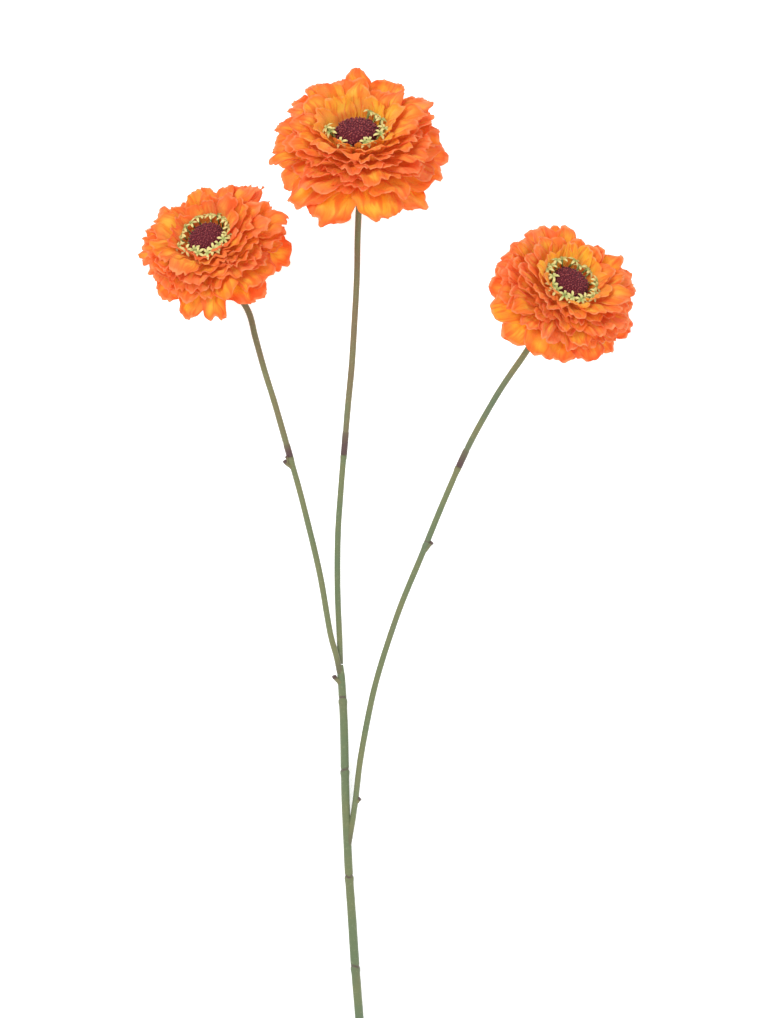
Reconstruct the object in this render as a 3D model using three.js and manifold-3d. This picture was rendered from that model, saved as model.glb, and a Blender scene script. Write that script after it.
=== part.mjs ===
// A cut spray of three orange zinnia heads on one branching stem, lying on a flat surface.
//
// Frame, in millimetres: the spray lies along Y with its cut end at -Y, +X is to the right of
// somebody looking down on it, +Z is up, and the surface that it lies on is z = 0.
//
// Each head has a frame of its own: z is the flower's axis, the rim of its central disc is at
// z = 0, and the side at +x is the one that the head leans on.

import * as THREE from "three";
import { mergeVertices } from "three/addons/utils/BufferGeometryUtils.js";
import Module from "manifold-3d";

const wasm = await Module();
wasm.setup();

// ---- driving dimensions ----

const SEAT_GAP = 0.3; // between two pieces that touch
const PETAL_THICKNESS = 0.7;

const MAIN_RADIUS = 1.8;
const BRANCH_RADIUS = 1.25;
const STALK_RADIUS = 1.3;
const STEM_SIDES = 8;
const STEM_STEP = 9; // length of one straight stretch of a stem
const COLLAR_HEIGHT = 0.35; // how far a node ring stands proud of its stem
const COLLAR_HALF_WIDTH = 1.1;
const COLLAR_FOOT = 0.85; // a ring's radius at its two sides, as a share of its stem's
const STUB_RADIUS = 0.95;

const HUB_HOLE_RADIUS = 5.3; // every whorl is threaded on the receptacle
const HUB_RIM_RADIUS = 8; // where a whorl's petals part from each other
const HUB_TOP = -4;
const HUB_PITCH = 1.8; // from one whorl's hub to the next
const RECEPTACLE_RADIUS = HUB_HOLE_RADIUS - SEAT_GAP;
const CALYX_BOTTOM = -24;
const DISC_BOTTOM = -2.2;
const CALYX_SIDES = 16;
const DISC_SIDES = 20;
const SEAT_RUN = 6; // the last, straight stretch of a stalk, under the calyx
const GOLDEN_ANGLE = 2.4; // turns each whorl so that its petals lie over the gaps below them
const MERGE_WITHIN = 1e-4;

// The ground pushes up what lies under this height, less and less towards it.
const SETTLE_FROM = 14;
const GROUND_GAP = 0.1;

// tilt: from straight up; azimuth: the way the head leans, from +X. open: the high side's petals
// hang down. more: a share of extra petals. outline: how far petals reach, seen from above, every
// 30 degrees round the disc from the low side. skirt: directions of the lowest whorl's petals
const HEADS = [
  {
    name: "center",
    scale: 1,
    tilt: 50,
    azimuth: 92,
    at: [-12.8, 190.2, 36.5],
    open: false,
    more: 1.1,
    outline: [1.05, 1.08, 1.06, 0.9, 0.86, 0.92, 0.94, 0.94, 0.97, 0.96, 1.09, 1.06],
    skirt: [30, 65, 100, 131, 162, 193, 220, 248, 282, 318, 355],
  },
  {
    name: "left",
    scale: 0.84,
    tilt: 42,
    azimuth: 113,
    at: [-74.5, 147.6, 30.5],
    open: true,
    more: 1.1,
    outline: [0.98, 1.02, 1.06, 0.95, 0.91, 0.98, 0.95, 0.94, 0.92, 1.09, 1.09, 1],
    skirt: [0, 38, 75, 110, 143.5, 160, 194.6, 223, 255, 290, 325],
  },
  {
    name: "right",
    scale: 0.885,
    tilt: 44,
    azimuth: 58,
    at: [74.6, 128.8, 32],
    open: true,
    more: 1.25,
    outline: [0.87, 0.98, 1.05, 0.96, 0.91, 0.89, 0.94, 0.89, 0.88, 0.95, 1.01, 1.08],
    skirt: [8, 34, 59, 85, 110, 137, 162, 188, 213, 239, 264, 290, 316, 341],
  },
];
const OUTLINE_STEP = 30; // degrees
const OUTLINE_FROM = 2; // the two innermost whorls reach equally far all round
const OUTLINE_PULL = 1.3; // a petal's tip moves less than its reach

// Whorls of petals from the innermost outwards. A petal's midrib is a cubic curve from the hub's
// rim. Its other three points, as [radius, height], are given for the side of the head that leans
// on the ground (low), for its flanks, and for the side that looks up (high, or hanging when the
// head is open). The sides between them are blended.
const WHORLS = [
  {
    petals: 10,
    columns: 2,
    low: [[12.5, -4], [13.2, 4], [16.5, 7.5]],
    flank: [[12.5, -4], [13, 3], [16.5, 6]],
    high: [[10.5, -4], [10.8, 1.2], [14, 2]],
    hanging: [[10.5, -4], [10.8, 1.2], [14, 2]],
  },
  {
    petals: 12,
    columns: 2,
    low: [[14.5, -5.8], [17, 5], [23, 9]],
    flank: [[14.5, -5.8], [17, 4], [24.5, 6.5]],
    high: [[12.5, -5.8], [13, 1.2], [18, 0.5]],
    hanging: [[12.5, -5.8], [13.5, 0.5], [17.5, 0.4]],
  },
  {
    petals: 14,
    columns: 1,
    low: [[16.5, -7.4], [20, 3], [27.5, 6.5]],
    flank: [[16.5, -7.4], [21, 3], [30, 4]],
    high: [[14.5, -7.6], [16, 0.2], [21.5, -1.2]],
    hanging: [[14.5, -7.6], [17, -0.5], [21, -2.2]],
  },
  {
    petals: 16,
    columns: 1,
    low: [[17, -8.8], [22, -1.5], [30, 0]],
    flank: [[17, -8.8], [23, -1], [33, 0]],
    high: [[16, -9.4], [19, -1.8], [24.8, -3.3]],
    hanging: [[16, -9.4], [20, -3.5], [24.5, -4.8]],
  },
  {
    petals: 16,
    columns: 1,
    low: [[17.5, -10.6], [23, -5], [33, -6.5]],
    flank: [[17.5, -10.6], [24.5, -5], [34.5, -6]],
    high: [[17, -11.2], [21.5, -5], [28, -6.8]],
    hanging: [[17, -11.2], [21.5, -7], [27.2, -8.4]],
  },
  {
    petals: 14,
    columns: 1,
    low: [[18, -12.4], [25, -9.5], [34.5, -13]],
    flank: [[18, -12.4], [26, -10], [34, -13]],
    high: [[18, -12.8], [24.5, -9.4], [30.5, -10.4]],
    hanging: [[18, -12.8], [24, -11.2], [30.5, -12.8]],
  },
  {
    columns: 2,
    low: [[18, -14.4], [27, -14.5], [37, -20]],
    flank: [[18, -14.4], [28, -15], [38, -18.5]],
    high: [[18, -14.6], [27, -16], [37.5, -21.5]],
    hanging: [[18, -14.6], [27, -16], [37.5, -22.5]],
  },
];

// Places along a midrib, from its hub to its tip, and the share of its room that a petal fills there
const PETAL_ROWS = [
  { along: 0.4, fill: 0.9 },
  { along: 0.75, fill: 0.94 },
  { along: 1, fill: 0.5 },
];

const COLORS = {
  stem: 0x767c55,
  branch: 0x868a66,
  stalk: 0x7a7c5a,
  calyx: 0x6d7a4a,
  petal: 0xf0763c,
  skirt: 0xf4691f,
  floret: 0xcfc27c,
  disc: 0x5a2138,
};

// ---- solids ----

function toSolid(geometry) {
  const bare = geometry.clone();
  bare.deleteAttribute("normal");
  bare.deleteAttribute("uv");
  const merged = mergeVertices(bare, MERGE_WITHIN);
  return new wasm.Manifold(
    new wasm.Mesh({
      numProp: 3,
      vertProperties: Float32Array.from(merged.attributes.position.array),
      triVerts: Uint32Array.from(merged.index.array),
    }),
  );
}

function toGeometry(solid) {
  const mesh = solid.getMesh();
  const geometry = new THREE.BufferGeometry();
  geometry.setAttribute("position", new THREE.BufferAttribute(mesh.vertProperties, 3));
  geometry.setIndex(new THREE.BufferAttribute(mesh.triVerts, 1));
  geometry.computeVertexNormals();
  return geometry;
}

function meshOf(name, geometry, color, roughness) {
  const material = new THREE.MeshStandardMaterial({ color, roughness, metalness: 0 });
  const mesh = new THREE.Mesh(geometry, material);
  mesh.name = name;
  return mesh;
}

// ---- head frames ----

function headMatrix(head) {
  const turn = new THREE.Euler(
    0,
    THREE.MathUtils.degToRad(head.tilt),
    THREE.MathUtils.degToRad(head.azimuth),
    "ZYX",
  );
  return new THREE.Matrix4().compose(
    new THREE.Vector3(...head.at),
    new THREE.Quaternion().setFromEuler(turn),
    new THREE.Vector3(head.scale, head.scale, head.scale),
  );
}

function onAxis(head, height) {
  return new THREE.Vector3(0, 0, height).applyMatrix4(headMatrix(head));
}

// ---- stems ----

// A stretch of another curve, from one distance along it to another
class Stretch extends THREE.Curve {
  constructor(whole, start, end) {
    super();
    this.whole = whole;
    this.start = start / whole.getLength();
    this.end = end / whole.getLength();
  }

  getPoint(share, target) {
    return this.whole.getPointAt(THREE.MathUtils.lerp(this.start, this.end, share), target);
  }
}

function spline(points) {
  const corners = points.map((point) => (point.isVector3 ? point : new THREE.Vector3(...point)));
  return new THREE.CatmullRomCurve3(corners, false, "centripetal");
}

function tube(curve, radius) {
  const corners = Array.from({ length: STEM_SIDES }, (_, side) => {
    const angle = (side * 2 * Math.PI) / STEM_SIDES;
    return new THREE.Vector2(radius * Math.cos(angle), radius * Math.sin(angle));
  });
  return new THREE.ExtrudeGeometry(new THREE.Shape(corners), {
    steps: Math.max(2, Math.ceil(curve.getLength() / STEM_STEP)),
    bevelEnabled: false,
    extrudePath: curve,
  });
}

// A turned solid whose axis runs from one point towards another
function turned(profile, sides, from, towards) {
  const points = profile.map(([radius, height]) => new THREE.Vector2(radius, height));
  const geometry = new THREE.LatheGeometry(points, sides);
  const turn = new THREE.Quaternion().setFromUnitVectors(
    new THREE.Vector3(0, 1, 0),
    towards.clone().sub(from).normalize(),
  );
  geometry.applyQuaternion(turn);
  geometry.translate(from.x, from.y, from.z);
  return geometry;
}

// The ring that a plastic stem has at a node
function collar(curve, distance, radius) {
  const share = distance / curve.getLength();
  const at = curve.getPointAt(share);
  const ahead = at.clone().add(curve.getTangentAt(share));
  const profile = [
    [0, -COLLAR_HALF_WIDTH],
    [radius * COLLAR_FOOT, -COLLAR_HALF_WIDTH],
    [radius + COLLAR_HEIGHT, 0],
    [radius * COLLAR_FOOT, COLLAR_HALF_WIDTH],
    [0, COLLAR_HALF_WIDTH],
  ];
  return turned(profile, STEM_SIDES, at, ahead);
}

// The stump of a leaf that was never fitted: a blunt cone from inside the stem to its tip
function stub(from, tip) {
  const start = new THREE.Vector3(...from);
  const end = new THREE.Vector3(...tip);
  const length = start.distanceTo(end);
  const profile = [
    [0, 0],
    [STUB_RADIUS, 0],
    [STUB_RADIUS * 0.8, length * 0.75],
    [STUB_RADIUS * 0.35, length],
    [0, length],
  ];
  return turned(profile, STEM_SIDES, start, end);
}

function stem({ curve, radius, collars = [], stubs = [], around = [] }) {
  let solid = toSolid(tube(curve, radius));
  for (const distance of collars) {
    solid = solid.add(toSolid(collar(curve, distance, radius)));
  }
  for (const [from, tip] of stubs) {
    solid = solid.add(toSolid(stub(from, tip)));
  }
  for (const neighbour of around) {
    solid = solid.subtract(toSolid(tube(neighbour.curve, neighbour.radius + SEAT_GAP)));
  }
  return toGeometry(solid);
}

// ---- heads ----

// A point of a whorl's midrib at an angle round the head, with the direction across its face
function midrib(head, level, angle, along) {
  const whorl = WHORLS[level];
  const turn = Math.cos(angle);
  const upward = head.open ? whorl.hanging : whorl.high;
  const lowShare = ((1 + turn) / 2) * turn * turn;
  const highShare = ((1 - turn) / 2) * turn * turn;
  const flankShare = 1 - turn * turn;
  const blend = (corner, axis) =>
    whorl.low[corner][axis] * lowShare +
    whorl.flank[corner][axis] * flankShare +
    upward[corner][axis] * highShare;
  const start = new THREE.Vector2(HUB_RIM_RADIUS, HUB_TOP - HUB_PITCH * level);
  const others = whorl.low.map((_, corner) => new THREE.Vector2(blend(corner, 0), blend(corner, 1)));
  const curve = new THREE.CubicBezierCurve(start, ...others);
  const point = curve.getPoint(along);
  const tangent = curve.getTangent(Math.min(along, 1));
  return { point, face: new THREE.Vector2(-tangent.y, tangent.x) };
}

// How far a petal reaches, by the direction in which its tip is seen from above
function reach(head, level, angle) {
  if (level < OUTLINE_FROM) {
    return 1;
  }
  const tilt = THREE.MathUtils.degToRad(head.tilt);
  const tip = midrib(head, level, angle, 1).point;
  const ahead = tip.x * Math.cos(angle) * Math.cos(tilt) + tip.y * Math.sin(tilt);
  const aside = tip.x * Math.sin(angle);
  const direction = THREE.MathUtils.euclideanModulo(
    THREE.MathUtils.radToDeg(Math.atan2(aside, ahead)),
    360,
  );
  const step = Math.floor(direction / OUTLINE_STEP);
  const size = THREE.MathUtils.lerp(
    head.outline[step],
    head.outline[(step + 1) % head.outline.length],
    direction / OUTLINE_STEP - step,
  );
  return 1 + OUTLINE_PULL * (size - 1);
}

// The angles of a whorl's petals: the middle of each, and the borders of its room on both sides
function petalRooms(head, level) {
  const whorl = WHORLS[level];
  const count = Math.round(whorl.petals * head.more);
  const pitch = (2 * Math.PI) / count;
  const middles = whorl.petals
    ? Array.from({ length: count }, (_, petal) => level * GOLDEN_ANGLE + petal * pitch)
    : head.skirt.map((direction) => THREE.MathUtils.degToRad(direction));
  const last = middles.length - 1;
  return middles.map((middle, petal) => {
    const before = petal > 0 ? middles[petal - 1] : middles[last] - 2 * Math.PI;
    const after = petal < last ? middles[petal + 1] : middles[0] + 2 * Math.PI;
    return { middle, start: (before + middle) / 2, end: (middle + after) / 2 };
  });
}

function petalWhorl(head, level) {
  const { columns } = WHORLS[level];
  const rooms = petalRooms(head, level);
  const positions = [];
  const triangles = [];

  // One corner of the sheet: its upper and its lower point
  function corner(angle, spot) {
    const index = positions.length / 3;
    for (const side of [0.5, -0.5]) {
      const radius = spot.point.x + spot.face.x * PETAL_THICKNESS * side;
      const height = spot.point.y + spot.face.y * PETAL_THICKNESS * side;
      positions.push(radius * Math.cos(angle), radius * Math.sin(angle), height);
    }
    return { upper: index, lower: index + 1 };
  }

  function quad(a, b, c, d) {
    triangles.push(a.upper, b.upper, c.upper, a.upper, c.upper, d.upper);
    triangles.push(a.lower, c.lower, b.lower, a.lower, d.lower, c.lower);
  }

  function wall(a, b) {
    triangles.push(a.upper, a.lower, b.lower, a.upper, b.lower, b.upper);
  }

  const hubHeight = HUB_TOP - HUB_PITCH * level;
  const hubFace = new THREE.Vector2(0, 1);
  const hole = [];
  const rim = [];
  for (const { start, end } of rooms) {
    for (let column = 0; column < columns; column += 1) {
      const angle = THREE.MathUtils.lerp(start, end, column / columns);
      const holePoint = new THREE.Vector2(HUB_HOLE_RADIUS, hubHeight);
      const rimPoint = new THREE.Vector2(HUB_RIM_RADIUS, hubHeight);
      hole.push(corner(angle, { point: holePoint, face: hubFace }));
      rim.push(corner(angle, { point: rimPoint, face: hubFace }));
    }
  }

  rooms.forEach(({ middle, start, end }, petal) => {
    const size = reach(head, level, middle);
    const rows = [[]];
    for (let column = 0; column <= columns; column += 1) {
      rows[0].push(rim[(petal * columns + column) % rim.length]);
    }
    for (const { along, fill } of PETAL_ROWS) {
      const row = [];
      for (let column = 0; column <= columns; column += 1) {
        const edge = THREE.MathUtils.lerp(start, end, column / columns);
        const angle = THREE.MathUtils.lerp(middle, edge, fill);
        row.push(corner(angle, midrib(head, level, middle, along * size)));
      }
      rows.push(row);
    }
    for (let column = 0; column < columns; column += 1) {
      const spot = petal * columns + column;
      const next = (spot + 1) % rim.length;
      quad(hole[spot], rim[spot], rim[next], hole[next]);
      wall(hole[next], hole[spot]);
      for (let row = 0; row + 1 < rows.length; row += 1) {
        const inner = rows[row];
        const outer = rows[row + 1];
        quad(inner[column], outer[column], outer[column + 1], inner[column + 1]);
      }
      const tip = rows[rows.length - 1];
      wall(tip[column], tip[column + 1]);
    }
    for (let row = 0; row + 1 < rows.length; row += 1) {
      wall(rows[row][0], rows[row + 1][0]);
      wall(rows[row + 1][columns], rows[row][columns]);
    }
  });

  const geometry = new THREE.BufferGeometry();
  geometry.setAttribute("position", new THREE.Float32BufferAttribute(positions, 3));
  geometry.setIndex(triangles);
  return geometry;
}

// A turned piece of a head: its profile holds [radius, height] in the head's frame
function turnedOnAxis(profile, sides) {
  return turned(profile, sides, new THREE.Vector3(), new THREE.Vector3(0, 0, 1));
}

// The green cup under the petals, with the post that carries whorls, florets and disc
function calyx() {
  const shelf = HUB_TOP - HUB_PITCH * (WHORLS.length - 1) - PETAL_THICKNESS / 2 - SEAT_GAP;
  return turnedOnAxis(
    [
      [0, CALYX_BOTTOM],
      [2, CALYX_BOTTOM],
      [2.8, CALYX_BOTTOM + 1.6],
      [5.4, CALYX_BOTTOM + 4],
      [7.2, CALYX_BOTTOM + 6.6],
      [7.5, shelf],
      [RECEPTACLE_RADIUS, shelf],
      [RECEPTACLE_RADIUS, DISC_BOTTOM - SEAT_GAP],
      [0, DISC_BOTTOM - SEAT_GAP],
    ],
    CALYX_SIDES,
  );
}

// The dark, flocked cone of unopened florets
function disc() {
  return turnedOnAxis(
    [
      [0, DISC_BOTTOM],
      [8.2, DISC_BOTTOM],
      [8.6, -0.6],
      [7.9, 1.2],
      [5.4, 2.6],
      [0, 3.3],
    ],
    DISC_SIDES,
  );
}

// The ring of open, star-shaped florets round the disc, as one plain ring
function floretRing() {
  return turnedOnAxis(
    [
      [8.9, -1],
      [8.9, -1.9],
      [9.2, -1.7],
      [9.8, -0.9],
      [10.6, 1.2],
      [10.8, 2.8],
      [9.7, 3.1],
      [8.9, -1],
    ],
    DISC_SIDES,
  );
}

// Soft petals that would reach below the ground are pushed up by it, all of a head's alike
function settle(whorls, head) {
  const toWorld = headMatrix(head);
  const toHead = toWorld.clone().invert();
  const point = new THREE.Vector3();
  let lowest = GROUND_GAP;
  for (const whorl of whorls) {
    whorl.applyMatrix4(toWorld);
    whorl.computeBoundingBox();
    lowest = Math.min(lowest, whorl.boundingBox.min.z);
  }
  const rate = (GROUND_GAP - lowest) / (SETTLE_FROM - lowest) ** 2;
  for (const whorl of whorls) {
    const positions = whorl.attributes.position;
    for (let index = 0; index < positions.count; index += 1) {
      point.fromBufferAttribute(positions, index);
      const depth = Math.max(0, SETTLE_FROM - point.z);
      positions.setZ(index, point.z + rate * depth * depth);
    }
    whorl.applyMatrix4(toHead);
    whorl.computeVertexNormals();
  }
}

function flowerHead(head) {
  const place = new THREE.Group();
  headMatrix(head).decompose(place.position, place.quaternion, place.scale);
  place.add(meshOf(`${head.name}_calyx`, calyx(), COLORS.calyx, 0.6));
  place.add(meshOf(`${head.name}_disc`, disc(), COLORS.disc, 0.95));
  place.add(meshOf(`${head.name}_floret_ring`, floretRing(), COLORS.floret, 0.7));
  const whorls = WHORLS.map((_, level) => petalWhorl(head, level));
  settle(whorls, head);
  whorls.forEach((whorl, level) => {
    const color = level === WHORLS.length - 1 ? COLORS.skirt : COLORS.petal;
    place.add(meshOf(`${head.name}_petals_${level + 1}`, whorl, color, 0.85));
  });
  return place;
}

// ---- the spray ----

const [center, left, right] = HEADS;

// The end of a stalk: it bends to the flower's axis and stops just under the calyx
function seatPoints(head) {
  const seat = CALYX_BOTTOM - SEAT_GAP / head.scale;
  return [onAxis(head, seat - SEAT_RUN), onAxis(head, seat)];
}

const mainPath = spline([
  [-9, -214.7, 2.1],
  [-10.5, -193.5, 2.3],
  [-13, -163.9, 2.6],
  [-14.9, -136.8, 2.8],
  [-16.5, -112, 3.1],
  [-17.3, -95.2, 3.4],
  [-18, -72.3, 3.8],
  [-18.5, -49.4, 4.3],
  [-19.9, -28.6, 5],
]);

const centerPath = spline([
  [-19.95, -28.2, 5],
  [-20.2, -18.2, 5.3],
  [-21.1, 5, 5.8],
  [-20.8, 27.5, 6.2],
  [-19.8, 42.8, 6.5],
  [-17.8, 66.1, 7],
  [-16.5, 81.4, 7.4],
  [-15, 97.6, 7.8],
  [-13.8, 117.4, 8.4],
  [-12.9, 135.2, 9.3],
  [-12.7, 147.5, 10.6],
  ...seatPoints(center),
]);

const forkPath = spline([...mainPath.points.slice(-3), ...centerPath.points.slice(1, 3)]);

const leftPath = spline([
  [-20, -32, 5.2],
  [-21.6, -24.4, 7],
  [-23.7, -16.9, 7.6],
  [-28.1, 8, 7.6],
  [-35.2, 37.9, 7.4],
  [-40.7, 57.8, 7.4],
  [-46.7, 78.9, 7.8],
  [-51, 92.6, 8.2],
  [-55, 107.1, 8.8],
  [-58.2, 118.5, 10.2],
  ...seatPoints(left),
]);

const rightPath = spline([
  [-17, -106, 3.4],
  [-15.6, -98, 3.9],
  [-13.8, -86, 4.3],
  [-11.4, -66.8, 4.4],
  [-5.4, -36.9, 4.7],
  [4.1, -7, 5.2],
  [15.3, 20.4, 6],
  [24.5, 42.8, 6.6],
  [33.5, 62.7, 7.2],
  [44.5, 82.6, 8.2],
  [51, 92.5, 9.2],
  [54.8, 97.9, 10.2],
  ...seatPoints(right),
]);

// Distance along each branch of the joint where its head's stalk is plugged in
const JOINTS = { center: 87.1, left: 92.5, right: 167.3 };
const RIGHT_NODE = 133; // a node ring halfway along the right branch
const MAIN_NODES = [17, 60.5, 98, 142.5, 172.5];

const forkStub = [[-19.4, -37, 4.9], [-22.4, -33.2, 6.4]];
const leftJointStub = [[-39.9, 53.2, 7.4], [-42.9, 55.9, 8]];
const rightNodeStub = [[15.2, 19, 6], [18.2, 22.4, 6.8]];
const rightStub = [[-13.8, -86, 4.3], [-11.6, -84, 4.6]];

function branchAndStalk(name, path, shape) {
  const joint = JOINTS[name];
  const end = path.getLength();
  const branch = stem({
    curve: new Stretch(path, 0, joint),
    radius: BRANCH_RADIUS,
    collars: [joint - COLLAR_HALF_WIDTH - SEAT_GAP, ...(shape.collars ?? [])],
    stubs: shape.stubs,
    around: shape.around,
  });
  const stalk = stem({
    curve: new Stretch(path, joint + SEAT_GAP, end),
    radius: STALK_RADIUS,
  });
  return [
    meshOf(`${name}_branch`, branch, COLORS.branch, 0.5),
    meshOf(`${name}_stalk`, stalk, COLORS.stalk, 0.5),
  ];
}

const group = new THREE.Group();

const mainStem = stem({
  curve: mainPath,
  radius: MAIN_RADIUS,
  collars: MAIN_NODES,
  stubs: [forkStub],
});
group.add(meshOf("main_stem", mainStem, COLORS.stem, 0.5));

// What the side branches grow round: the main stem, and its run on into the center branch
const besideMain = { curve: mainPath, radius: MAIN_RADIUS };
const besideFork = { curve: forkPath, radius: MAIN_RADIUS };
group.add(...branchAndStalk("center", centerPath, {}));
group.add(
  ...branchAndStalk("left", leftPath, {
    stubs: [leftJointStub],
    around: [besideFork],
  }),
);
group.add(
  ...branchAndStalk("right", rightPath, {
    collars: [RIGHT_NODE],
    stubs: [rightNodeStub, rightStub],
    around: [besideMain],
  }),
);

for (const head of HEADS) {
  group.add(flowerHead(head));
}

export default group;
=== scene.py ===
import math

import bpy
import numpy as np
from mathutils import Matrix, Vector


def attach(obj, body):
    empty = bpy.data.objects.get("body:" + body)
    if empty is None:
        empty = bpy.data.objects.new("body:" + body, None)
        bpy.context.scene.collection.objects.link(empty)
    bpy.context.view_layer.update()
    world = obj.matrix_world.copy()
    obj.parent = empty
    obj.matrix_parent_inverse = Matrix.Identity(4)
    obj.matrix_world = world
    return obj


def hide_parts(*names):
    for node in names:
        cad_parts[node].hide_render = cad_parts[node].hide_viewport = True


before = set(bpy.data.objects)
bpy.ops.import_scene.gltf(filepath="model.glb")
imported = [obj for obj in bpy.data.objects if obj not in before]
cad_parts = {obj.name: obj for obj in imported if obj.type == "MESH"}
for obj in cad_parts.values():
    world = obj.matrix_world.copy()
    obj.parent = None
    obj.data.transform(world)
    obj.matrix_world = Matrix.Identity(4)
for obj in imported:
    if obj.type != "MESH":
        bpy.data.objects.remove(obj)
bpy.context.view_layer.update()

# A cut spray of three orange zinnias, lying on a pale floor and seen from straight above.
# Lengths below are in millimetres, in the frame of the part; Bundle.piece() turns them to metres.

MM = 0.001

# ---- the part's own dimensions ----

# Angles are in degrees. "seed" starts a head's random draws, "heart" names the look of its inmost
# petals, "scale" is its size against the center head's, "tilt" and "azimuth" are the lean of its
# axis, "at" is its middle, and "open" is 1 where its high side lies lower. "petals" changes
# its petals as a whole: more of them, the depth of their ruffle and teeth, how round their corners
# are, how much of their room they fill, and how pale their rims are. "outline" is how far they
# reach, seen from above, every 30 degrees round the disc from the head's low side. "skirt" gives
# the directions of its lowest whorl's petals, and "odd" lists single petals that stand out: whorl,
# direction, width, reach, rise. "florets" gives the directions of its open florets, "floret_ring"
# and "floret_size" the size of their ring and of their lobes
HEADS = {
    "center": {
        "seed": 402,
        "heart": "yellow",
        "scale": 1.0,
        "tilt": 50,
        "azimuth": 92,
        "at": (-12.8, 190.2, 36.5),
        "open": 0,
        "petals": {"more": 1.1, "ruffle": 1.0, "teeth": 1.0, "round": 1.3, "fill": 1.0, "pale": 0.45},
        "outline": [1.05, 1.08, 1.06, 0.9, 0.86, 0.92, 0.94, 0.94, 0.97, 0.96, 1.09, 1.06],
        "skirt": [100, 131, 162, 193, 220, 248, 282, 318, 355, 30, 65],
        "odd": [
            (3, 358, 0.95, 1.2, 2.0), (4, 314, 1.05, 1.12, -0.4), (5, 102, 0.36, 1.13, 0.5),
            (5, 270, 1.0, 0.93, -1.3), (7, 131, 1.0, 0.96, 0.0), (7, 157, 0.86, 1.0, 0.0),
            (7, 196, 0.92, 1.01, 0.0), (7, 221, 1.0, 0.94, 0.0), (7, 282, 1.0, 0.92, 0.7),
        ],
        "floret_ring": 1.0,
        "floret_size": 1.05,
        "florets": [333, 317, 298, 255, 236, 205, 196, 147, 104, 88],
    },
    "left": {
        "seed": 447,
        "heart": "red",
        "scale": 0.84,
        "tilt": 42,
        "azimuth": 113,
        "at": (-74.5, 147.6, 30.5),
        "open": 1,
        "petals": {"more": 1.1, "ruffle": 1.2, "teeth": 1.0, "round": 1.35, "fill": 1.0, "pale": 0.45},
        "outline": [0.98, 1.02, 1.06, 0.95, 0.91, 0.98, 0.95, 0.94, 0.92, 1.09, 1.09, 1.0],
        "skirt": [143.5, 160, 194.6, 223, 110, 255, 290, 325, 0, 38, 75],
        "odd": [
            (5, 69, 1.0, 0.9, -0.5), (5, 289, 1.0, 0.9, 0.0), (7, 75, 1.0, 0.76, 0.0),
            (7, 138, 0.78, 0.93, 0.0), (7, 160, 0.76, 0.97, 0.0), (7, 199, 0.9, 0.86, 0.0),
            (7, 290, 0.9, 0.88, 0.0),
        ],
        "floret_ring": 1.08,
        "floret_size": 1.25,
        "florets": list(range(5, 365, 18)),
    },
    "right": {
        "seed": 410,
        "heart": "yellow",
        "scale": 0.885,
        "tilt": 44,
        "azimuth": 58,
        "at": (74.6, 128.8, 32),
        "open": 1,
        "petals": {"more": 1.25, "ruffle": 0.85, "teeth": 0.45, "round": 1.3, "fill": 0.98, "pale": 0.6},
        "outline": [0.87, 0.98, 1.05, 0.96, 0.91, 0.89, 0.94, 0.89, 0.88, 0.95, 1.01, 1.08],
        "skirt": [8, 34, 59, 85, 110, 137, 162, 188, 213, 239, 264, 290, 316, 341],
        "odd": [
            (4, 33, 1.0, 1.07, -0.9), (4, 86, 0.95, 0.98, 0.8), (4, 304, 1.0, 1.02, 0.1),
            (4, 322, 1.0, 1.12, -0.2), (5, 185, 0.7, 1.15, -0.5), (7, 59, 0.95, 1.0, 0.0),
            (7, 264, 0.85, 0.82, 0.0),
        ],
        "floret_ring": 1.04,
        "floret_size": 1.2,
        "florets": list(range(8, 368, 19)),
    },
}

HUB_HOLE_RADIUS = 5.3
HUB_RIM_RADIUS = 8
HUB_TOP = -4
HUB_PITCH = 1.8
CALYX_BOTTOM = -24

# Midribs of the whorls, innermost first: Bezier curves whose control points are (radius, height).
# The first lies on the hub's rim, the second is a bend, and the tables hold the last two: for a
# head's low side, for its flanks, which share the low side's bends, and for its high side
LOW_BENDS = [(12.5, -4), (14.5, -5.8), (16.5, -7.4), (17, -8.8), (17.5, -10.6), (18, -12.4), (18, -14.4)]
HIGH_BENDS = [(10.5, -4), (12.5, -5.8), (14.5, -7.6), (16, -9.4), (17, -11.2), (18, -12.8), (18, -14.6)]
LOW_SIDE = [
    [(13.2, 4), (16.5, 7.5)],
    [(17, 5), (23, 9)],
    [(20, 3), (27.5, 6.5)],
    [(22, -1.5), (30, 0)],
    [(23, -5), (33, -6.5)],
    [(25, -9.5), (34.5, -13)],
    [(27, -14.5), (37, -20)],
]
FLANK = [
    [(13, 3), (16.5, 6)],
    [(17, 4), (24.5, 6.5)],
    [(21, 3), (30, 4)],
    [(23, -1), (33, 0)],
    [(24.5, -5), (34.5, -6)],
    [(26, -10), (34, -13)],
    [(28, -15), (38, -18.5)],
]
HIGH_SIDE = [
    [(10.8, 1.2), (14, 2)],
    [(13, 1.2), (18, 0.5)],
    [(16, 0.2), (21.5, -1.2)],
    [(19, -1.8), (24.8, -3.3)],
    [(21.5, -5), (28, -6.8)],
    [(24.5, -9.4), (30.5, -10.4)],
    [(27, -16), (37.5, -21.5)],
]
HIGH_SIDE_OPEN = [
    [(10.8, 1.2), (14, 2)],
    [(13.5, 0.5), (17.5, 0.4)],
    [(17, -0.5), (21, -2.2)],
    [(20, -3.5), (24.5, -4.8)],
    [(21.5, -7), (27.2, -8.4)],
    [(24, -11.2), (30.5, -12.8)],
    [(27, -16), (37.5, -22.5)],
]

SETTLE_FROM = 14  # the ground pushes up what lies under this height
GROUND_GAP = 0.15

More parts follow.
